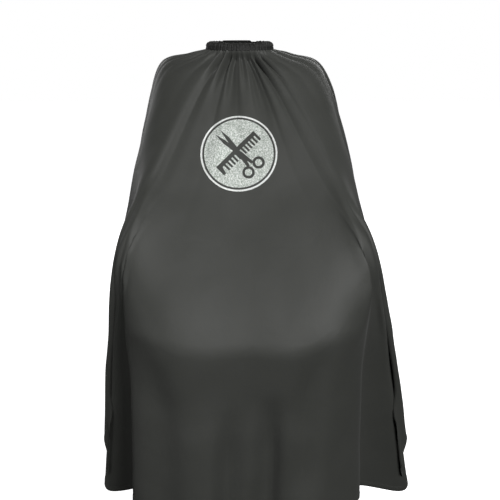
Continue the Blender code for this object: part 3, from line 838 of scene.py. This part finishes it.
def stud_profile():
    """A flange with a hollow neck that swells a little at its top."""
    low, high = STUD_FLANGE
    neck = STUD_NECK_RADIUS
    return [
        (HOLE_RADIUS, low),
        (STUD_FLANGE_RADIUS - 0.2 * MM, low),
        (STUD_FLANGE_RADIUS, low + 0.2 * MM),
        (STUD_FLANGE_RADIUS, high - STUD_BEVEL),
        (STUD_FLANGE_RADIUS - STUD_BEVEL, high),
        (neck * 0.92, high),
        (neck, STUD_TOP - 0.8 * MM),
        (neck * 0.97, STUD_TOP - STUD_BEVEL),
        (neck * 0.85, STUD_TOP),
        (HOLE_RADIUS, STUD_TOP),
    ]


def socket_profile():
    """A ring with a thin web at its outer end."""
    low, high = SOCKET_SPAN
    return [
        (SOCKET_BORE, low),
        (SOCKET_RADIUS - SOCKET_BEVEL, low),
        (SOCKET_RADIUS, low + SOCKET_BEVEL),
        (SOCKET_RADIUS, high),
        (HOLE_RADIUS, high),
        (HOLE_RADIUS, high - SOCKET_WEB),
        (SOCKET_BORE, high - SOCKET_WEB),
    ]


def make_snaps(look):
    """A stud and its back cap for each neck size, and a socket and its cap on the two that are closed."""
    middle = (STUD_COUNT - 1) / 2
    for index in range(STUD_COUNT):
        matrix = snap_matrix((index - middle) * SNAP_PITCH)
        stud = turned(f"stud_{index + 1}", stud_profile(), matrix, look)
        back = turned(f"back_cap_{index + 1}", cap_profile(-BACK_CAP_GAP, -1, STUD_TOP - GAP), matrix, look)
        stand_for(stud, "cape", "snap_plastic", f"snap_stud_{index + 1}")
        stand_for(back, "cape", "snap_plastic", f"snap_back_cap_{index + 1}")
    for number, index in enumerate(CLOSED_STUDS, start=1):
        matrix = snap_matrix((index - middle) * SNAP_PITCH)
        socket = turned(f"socket_{number}", socket_profile(), matrix, look)
        seat = OVER_TAB_OFFSET + TAB_THICKNESS + GAP
        cap = turned(f"cap_{number}", cap_profile(seat, 1, STUD_TOP + GAP), matrix, look)
        stand_for(socket, "closure", "snap_plastic", f"closure_socket_{number}")
        stand_for(cap, "closure", "snap_plastic", f"closure_cap_{number}")


# ---------------------------------------------------------------- emblem


def film_slab(grid):
    """A thin closed slab over the chest, just clear of the sheet."""
    steps = (grid.shape[1] - 1) // LAST_LINE
    columns_from = FILM_FIRST_LINE * steps
    rows_from, rows_to = (int(station * steps) for station in FILM_STATIONS)
    patch = grid[rows_from : rows_to + 1, columns_from : grid.shape[1] - columns_from]
    normals = grid_normals(patch)
    near = patch + normals * FILM_CLEARANCE
    far = near + normals * FILM_THICKNESS
    rows, columns = patch.shape[:2]
    count = rows * columns
    faces = grid_faces(rows, columns)
    faces += [tuple(count + corner for corner in face) for face in grid_faces(rows, columns)]
    rim = list(range(columns))
    rim += [row * columns + columns - 1 for row in range(1, rows)]
    rim += [(rows - 1) * columns + column for column in range(columns - 2, -1, -1)]
    rim += [row * columns for row in range(rows - 2, 0, -1)]
    for here, after in zip(rim, rim[1:] + rim[:1]):
        faces.append((here, after, after + count, here + count))
    return np.concatenate([near.reshape(-1, 3), far.reshape(-1, 3)]), faces


def prism(name, outlines):
    """A cutter: outlines in the emblem's plane, extruded from front to back. A second outline is a hole."""
    centre_x, centre_z = EMBLEM_CENTRE
    points = []
    faces = []
    size = len(outlines[0])
    for outline in outlines:
        for depth in CUTTER_SPAN:
            points += [(centre_x + x, depth, centre_z + z * EMBLEM_HEIGHT_SHARE) for x, z in outline]
    for ring in range(len(outlines)):
        first = ring * 2 * size
        for corner in range(size):
            beside = (corner + 1) % size
            faces.append((first + corner, first + beside, first + size + beside, first + size + corner))
    if len(outlines) == 1:
        faces += [tuple(range(size)), tuple(range(size, 2 * size))]
    else:
        for end in (0, size):
            for corner in range(size):
                beside = (corner + 1) % size
                inner = 2 * size + end
                faces.append((end + corner, end + beside, inner + beside, inner + corner))
    return add_object(name, points, faces)


def circle(radius, steps, centre=(0, 0)):
    turns = [2 * math.pi * step / steps for step in range(steps)]
    return [(centre[0] + radius * math.cos(turn), centre[1] + radius * math.sin(turn)) for turn in turns]


def turn_outline(outline, angle):
    cosine, sine = math.cos(angle), math.sin(angle)
    return [(x * cosine - z * sine, x * sine + z * cosine) for x, z in outline]


def comb_outline():
    """A comb along X with its teeth towards -Z, centred on the origin."""
    left = -COMB_LENGTH / 2
    top = COMB_DEPTH / 2
    root = top - COMB_SPINE
    bottom = -COMB_DEPTH / 2
    pitch = (COMB_LENGTH - 2 * COMB_END_WIDTH) / COMB_TEETH
    outline = [(left + COMB_END_WIDTH, bottom), (left, bottom), (left, top), (-left, top), (-left, bottom)]
    outline.append((-left - COMB_END_WIDTH, bottom))
    for tooth in range(COMB_TEETH, 0, -1):
        slot_from = left + COMB_END_WIDTH + tooth * pitch
        slot_to = slot_from - pitch * (1 - COMB_TOOTH_SHARE)
        outline += [(slot_from, root), (slot_to, root)]
        if tooth > 1:
            outline += [(slot_to, bottom), (slot_from - pitch, bottom)]
    return outline


def blade_outline(side):
    """One blade and its shank, pivoted at the origin, with the cutting edge towards the other blade."""
    half = BLADE_WIDTH / 2
    outline = [
        (-SHANK_LENGTH, -SHANK_WIDTH / 2),
        (-SHANK_LENGTH * 0.2, -half),
        (BLADE_LENGTH * 0.6, -half),
        (BLADE_LENGTH, -half + BLADE_TIP),
        (BLADE_LENGTH * 0.6, half * 0.6),
        (-SHANK_LENGTH * 0.2, half),
        (-SHANK_LENGTH, SHANK_WIDTH / 2),
    ]
    outline = [(x, z * side) for x, z in outline]
    return turn_outline(turn_outline(outline, side * BLADE_SPREAD), math.pi - MOTIF_ANGLE)


def handle_centre(side):
    reach = SHANK_LENGTH + HANDLE_RADIUS - SHANK_WIDTH / 2
    spread = turn_outline([(-reach, -side * HANDLE_OFFSET)], side * BLADE_SPREAD)
    return turn_outline(spread, math.pi - MOTIF_ANGLE)[0]


def cut(obj, cutter, operation="DIFFERENCE"):
    """Applies a Boolean, and takes the cutter away."""
    modifier = obj.modifiers.new(cutter.name, "BOOLEAN")
    modifier.object = cutter
    modifier.operation = operation
    modifier.solver = "EXACT"
    result = obj.evaluated_get(bpy.context.evaluated_depsgraph_get())
    mesh = bpy.data.meshes.new_from_object(result)
    obj.modifiers.clear()
    obj.data = mesh
    bpy.data.objects.remove(cutter)


def make_emblem(grid, look, painted_highlight_look):
    """The printed ring, and the disc with a comb and scissors cut out of it. The ring wears a brighter copy
    of the silver film, which is a painted highlight.
    """
    points, faces = film_slab(grid)

    def film(name, node, outlines, finish=look):
        obj = add_object(name, points, faces, finish)
        cut(obj, prism(f"{name}_outline", outlines), "INTERSECT")
        stand_for(obj, "cape", "silver_film", node)
        return obj

    inner_radius = EMBLEM_RING_RADIUS - EMBLEM_RING_WIDTH
    rings = [circle(EMBLEM_RING_RADIUS, CIRCLE_STEPS), circle(inner_radius, CIRCLE_STEPS)]
    # The ring gets a brighter copy of the silver film, up to pure white: a painted highlight.
    pieces = [film("film_ring", "emblem_ring", rings, painted_highlight_look)]
    disc = film("film_disc", "emblem_disc", [circle(EMBLEM_DISC_RADIUS, CIRCLE_STEPS)])
    cut(disc, prism("comb_cutout", [turn_outline(comb_outline(), MOTIF_ANGLE)]))
    pieces.append(disc)
    for side, word in ((1, "upper"), (-1, "lower")):
        centre = handle_centre(side)
        cut(disc, prism(f"{word}_blade_cutout", [blade_outline(side)]))
        cut(disc, prism(f"{word}_handle_cutout", [circle(HANDLE_RADIUS, HANDLE_STEPS, centre)]))
        outline = [circle(HANDLE_HOLE, HANDLE_STEPS, centre)]
        pieces.append(film(f"film_{word}_finger_hole", f"emblem_{word}_finger_hole", outline))
    for piece in pieces:
        shade(piece)
    return pieces


# ---------------------------------------------------------------- materials


def new_material(name, colour, roughness, **sockets):
    """A Principled material. Other sockets are given by name, with _ for a space."""
    made = bpy.data.materials.new(name)
    made.use_nodes = True
    shader = made.node_tree.nodes["Principled BSDF"]
    shader.inputs["Base Color"].default_value = (*colour, 1.0)
    shader.inputs["Roughness"].default_value = roughness
    for socket, value in sockets.items():
        shader.inputs[socket.replace("_", " ")].default_value = value
    return made


def add_node(made, kind, **values):
    """A shader node with its properties or input sockets set."""
    node = made.node_tree.nodes.new(kind)
    for name, value in values.items():
        if name in node.bl_rna.properties:
            setattr(node, name, value)
        else:
            node.inputs[name.replace("_", " ")].default_value = value
    return node


def coordinates_of(made):
    return add_node(made, "ShaderNodeTexCoord").outputs["Object"]


def vary_colour(made, texture, low, high, low_at=0.3, high_at=0.7):
    """Colours the surface from low to high by a texture's value."""
    links = made.node_tree.links
    ramp = add_node(made, "ShaderNodeValToRGB")
    ramp.color_ramp.elements[0].position = low_at
    ramp.color_ramp.elements[1].position = high_at
    ramp.color_ramp.elements[0].color = (*low, 1)
    ramp.color_ramp.elements[1].color = (*high, 1)
    links.new(texture, ramp.inputs["Fac"])
    links.new(ramp.outputs["Color"], made.node_tree.nodes["Principled BSDF"].inputs["Base Color"])


def add_bump(made, texture, distance, strength, before=None):
    """Bump from a texture, on top of an earlier bump if there is one."""
    bump = add_node(made, "ShaderNodeBump", Distance=distance, Strength=strength)
    links = made.node_tree.links
    links.new(texture, bump.inputs["Height"])
    if before:
        links.new(before, bump.inputs["Normal"])
    links.new(bump.outputs["Normal"], made.node_tree.nodes["Principled BSDF"].inputs["Normal"])
    return bump.outputs["Normal"]


def noise_of(made, scale, detail, roughness=0.5, distortion=0.0):
    texture = add_node(made, "ShaderNodeTexNoise", Scale=scale, Detail=detail, Roughness=roughness)
    texture.inputs["Distortion"].default_value = distortion
    made.node_tree.links.new(coordinates_of(made), texture.inputs["Vector"])
    return texture.outputs["Fac"]


def weave_of(made, scale):
    """A plain weave: the sum of two crossed bands."""
    links = made.node_tree.links
    bands = []
    for direction in ("X", "Z"):
        band = add_node(made, "ShaderNodeTexWave", wave_type="BANDS", bands_direction=direction, Scale=scale)
        links.new(coordinates_of(made), band.inputs["Vector"])
        bands.append(band.outputs["Fac"])
    total = add_node(made, "ShaderNodeMath", operation="ADD")
    links.new(bands[0], total.inputs[0])
    links.new(bands[1], total.inputs[1])
    return total.outputs[0]


def cloth_material(name, low, high, roughness, sheen, weave=260.0):
    """Woven polyester: uneven dye, fine creases and a weave."""
    sockets = {"Sheen_Weight": sheen, "Sheen_Roughness": 0.45, "Specular_IOR_Level": 0.35}
    made = new_material(name, high, roughness, **sockets)
    vary_colour(made, noise_of(made, 5.0, 4.0), low, high)
    creases = add_bump(made, noise_of(made, 16.0, 5.0, 0.55, 0.4), 3 * MM, 0.35)
    add_bump(made, weave_of(made, weave), 0.12 * MM, 0.5, creases)
    return made


def film_material(name, low, high):
    """Glitter film: small flakes, each with its own brightness."""
    made = new_material(name, high, 0.42, Metallic=0.3)
    glitter = add_node(made, "ShaderNodeTexVoronoi", Scale=620.0)
    made.node_tree.links.new(coordinates_of(made), glitter.inputs["Vector"])
    vary_colour(made, glitter.outputs["Color"], low, high, 0.3, 0.75)
    add_bump(made, glitter.outputs["Distance"], 0.1 * MM, 0.5)
    return made


def knit_material():
    """Ribbed elastic."""
    made = new_material("elastic", (0.03, 0.03, 0.03), 0.85)
    rib = add_node(made, "ShaderNodeTexWave", wave_type="BANDS", bands_direction="Z", Scale=300.0)
    made.node_tree.links.new(coordinates_of(made), rib.inputs["Vector"])
    add_bump(made, rib.outputs["Fac"], 0.3 * MM, 0.6)
    return made


def snap_material():
    """Moulded plastic, faintly mottled."""
    made = new_material("snap_plastic", (0.018, 0.018, 0.019), 0.32)
    vary_colour(made, noise_of(made, 500.0, 2.0), (0.014, 0.014, 0.015), (0.024, 0.024, 0.025))
    return made


# ---------------------------------------------------------------- helpers


def add_object(name, points, faces, look=None, closed=True):
    """A mesh object. A closed one gets its faces turned outward."""
    mesh = bpy.data.meshes.new(name)
    mesh.from_pydata([tuple(point) for point in points], [], faces)
    if closed:
        outward = bmesh.new()
        outward.from_mesh(mesh)
        bmesh.ops.recalc_face_normals(outward, faces=outward.faces)
        outward.to_mesh(mesh)
        outward.free()
    obj = bpy.data.objects.new(name, mesh)
    bpy.context.scene.collection.objects.link(obj)
    if look:
        mesh.materials.append(look)
    bpy.context.view_layer.update()
    return obj


def shade(obj):
    obj.data.shade_smooth()
    obj.data.set_sharp_from_angle(angle=SMOOTH_ANGLE)


def stand_for(obj, body, slot, *nodes):
    """The piece rides a body and replaces CAD nodes. The slot is not used."""
    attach(obj, body)
    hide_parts(*nodes)


# ---------------------------------------------------------------- studio


def area_light(name, place, aim, size, power):
    data = bpy.data.lights.new(name, "AREA")
    data.shape = "DISK"
    data.size = size
    data.energy = power
    obj = bpy.data.objects.new(name, data)
    bpy.context.scene.collection.objects.link(obj)
    obj.location = place
    obj.rotation_euler = (Vector(aim) - Vector(place)).to_track_quat("-Z", "Y").to_euler()


def make_studio():
    """White world and floor that only the camera sees, and soft lights."""
    scene = bpy.context.scene
    scene.view_settings.view_transform = "Standard"
    world = bpy.data.worlds.new("studio")
    scene.world = world
    world.use_nodes = True
    world.node_tree.nodes["Background"].inputs["Color"].default_value = (1, 1, 1, 1)
    world.node_tree.nodes["Background"].inputs["Strength"].default_value = WORLD_STRENGTH
    world.cycles_visibility.diffuse = False
    world.cycles_visibility.glossy = False
    look = new_material("floor_white", (0.9, 0.9, 0.9), 0.95, Emission_Strength=1.0)
    look.node_tree.nodes["Principled BSDF"].inputs["Emission Color"].default_value = (1, 1, 1, 1)
    corners = [(x * FLOOR, y * FLOOR, FLOOR_HEIGHT) for x, y in ((-1, -1), (1, -1), (1, 1), (-1, 1))]
    floor = add_object("floor", corners, [(0, 1, 2, 3)], look)
    floor.visible_diffuse = False
    floor.visible_glossy = False
    for light in LIGHTS:
        area_light(*light)


def make_camera():
    data = bpy.data.cameras.new("camera")
    data.lens = CAMERA_LENS
    data.sensor_width = CAMERA_SENSOR
    data.shift_x, data.shift_y = CAMERA_SHIFT
    camera = bpy.data.objects.new("camera", data)
    bpy.context.scene.collection.objects.link(camera)
    camera.location = CAMERA_PLACE
    camera.rotation_euler = (math.radians(90 - CAMERA_PITCH), 0, 0)
    bpy.context.scene.camera = camera


# ---------------------------------------------------------------- main


def make_cape(looks):
    """The sheet with its hem, stitching and emblem."""
    smooth, folded = draped_grid()
    folded = settle(smooth, folded)
    grid = finer(folded, FINE_STEPS)
    grid = wrinkled(grid + grid_normals(grid) * soft_folds(*grid.shape[:2])[..., None])
    sheet = make_sheet(grid, looks["cloth"])
    stand_for(sheet, "cape", "cape_polyester", "cape_panel")
    hem = make_hem(grid, looks["cloth"])
    thread = make_hem_stitching(grid, looks["thread"])
    for piece in (hem, thread):
        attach(piece, "cape")
    film = make_emblem(grid, looks["film"], looks["film_painted_highlight"])


def make_band(looks, hinge):
    """The neckband with the closure's two straps, their stitching and the snaps."""
    casing = make_casing(looks["band"])
    stand_for(casing, "cape", "band_cloth", "neckband_casing")
    stud_root = -CASING_END + ROOT_GAP
    stud_tab = make_tab("stud_strap", stud_root, STUD_TAB_TIP, 0, looks["band"])
    stand_for(stud_tab, "cape", "band_cloth", "stud_tab")
    thread = looks["thread"]
    stud_thread = tab_stitching("stud_strap_stitching", stud_root, STUD_TAB_TIP, TAB_THICKNESS, thread)
    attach(stud_thread, "cape")
    over_root = CASING_END - ROOT_GAP
    over_tab = make_tab("closure_strap", over_root, OVER_TAB_TIP, OVER_TAB_OFFSET, looks["band"])
    out = OVER_TAB_OFFSET + TAB_THICKNESS
    over_thread = tab_stitching("closure_strap_stitching", over_root, OVER_TAB_TIP, out, thread)
    along = (band_point(band_angle(CASING_END - 2 * HINGE_BEND), out, 0) - hinge).normalized()
    for piece in (over_tab, over_thread):
        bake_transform(piece)
    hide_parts("closure_tab")
    make_snaps(looks["snap"])


def make_looks():
    return {
        "cloth": cloth_material("cape_polyester", (0.046, 0.048, 0.043), (0.056, 0.058, 0.053), 0.56, 0.1),
        "band": cloth_material("band_cloth", (0.013, 0.013, 0.012), (0.019, 0.019, 0.018), 0.62, 0.04, 420.0),
        "elastic": knit_material(),
        "snap": snap_material(),
        "film": film_material("silver_film", (0.36, 0.41, 0.36), (0.92, 0.95, 0.92)),
        # A brighter copy of the silver film, up to pure white, for the ring: a painted highlight.
        "film_painted_highlight": film_material("silver_film_painted_highlight", (0.80, 0.84, 0.80), (1.0, 1.0, 1.0)),
        "thread": new_material("thread", (0.05, 0.05, 0.048), 0.6),
    }


def main():
    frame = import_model()
    looks = make_looks()
    hinge = Vector(frame["joints"][0]["pos_m"])
    make_cape(looks)
    make_band(looks, hinge)
    elastic = frame["nodes"]["neck_elastic"]
    elastic.data.materials.clear()
    elastic.data.materials.append(looks["elastic"])
    make_studio()
    make_camera()


main()
